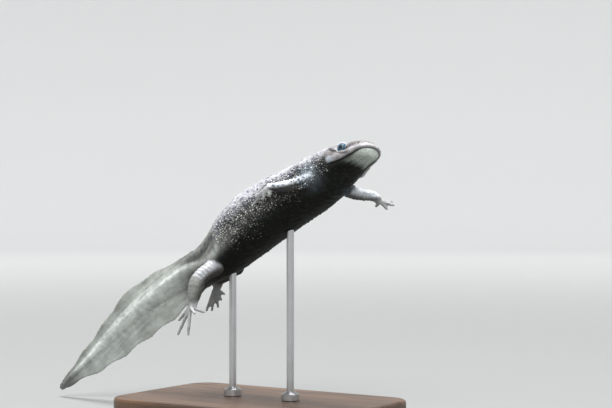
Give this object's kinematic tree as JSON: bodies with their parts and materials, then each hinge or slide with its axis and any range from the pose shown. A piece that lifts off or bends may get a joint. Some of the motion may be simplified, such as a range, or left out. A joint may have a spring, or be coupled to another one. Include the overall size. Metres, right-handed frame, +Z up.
{
  "type": "ribbed newt model on a display stand",
  "caption": "Life-size still model of a ribbed newt swimming upward, with flattened finned tail, held over a flat base by slim rods.",
  "frame": {"origin": "middle of the base's underside, on the floor", "axes": "+X is the newt's heading, +Y its left side, +Z up"},
  "size_m": [0.1683, 0.066, 0.1098],
  "materials": {
    "skin": "moist granular skin, mottled grey, darker below",
    "eye": "wet and glossy",
    "stand_wood": "satin varnish",
    "stand_metal": "brushed"
  },
  "bodies": {
    "root": {"head": "skin", "lower_jaw": "skin", "neck": "skin", "chest": "skin", "belly": "skin", "pelvis": "skin", "tail_base": "skin", "tail_middle": "skin", "tail_tip": "skin", "fin_upper_front": "skin", "fin_upper_rear": "skin", "fin_lower_front": "skin", "fin_lower_rear": "skin", "arm_right_upper": "skin", "arm_right_lower": "skin", "hand_right": "skin", "arm_left_upper": "skin", "arm_left_lower": "skin", "hand_left": "skin", "leg_right_thigh": "skin", "leg_right_shank": "skin", "foot_right": "skin", "leg_left_thigh": "skin", "leg_left_shank": "skin", "foot_left": "skin", "eye_left": "eye", "eye_right": "eye", "stand_base": "stand_wood", "stand_rod_front": "stand_metal", "stand_rod_rear": "stand_metal"}
  },
  "joints": []
}
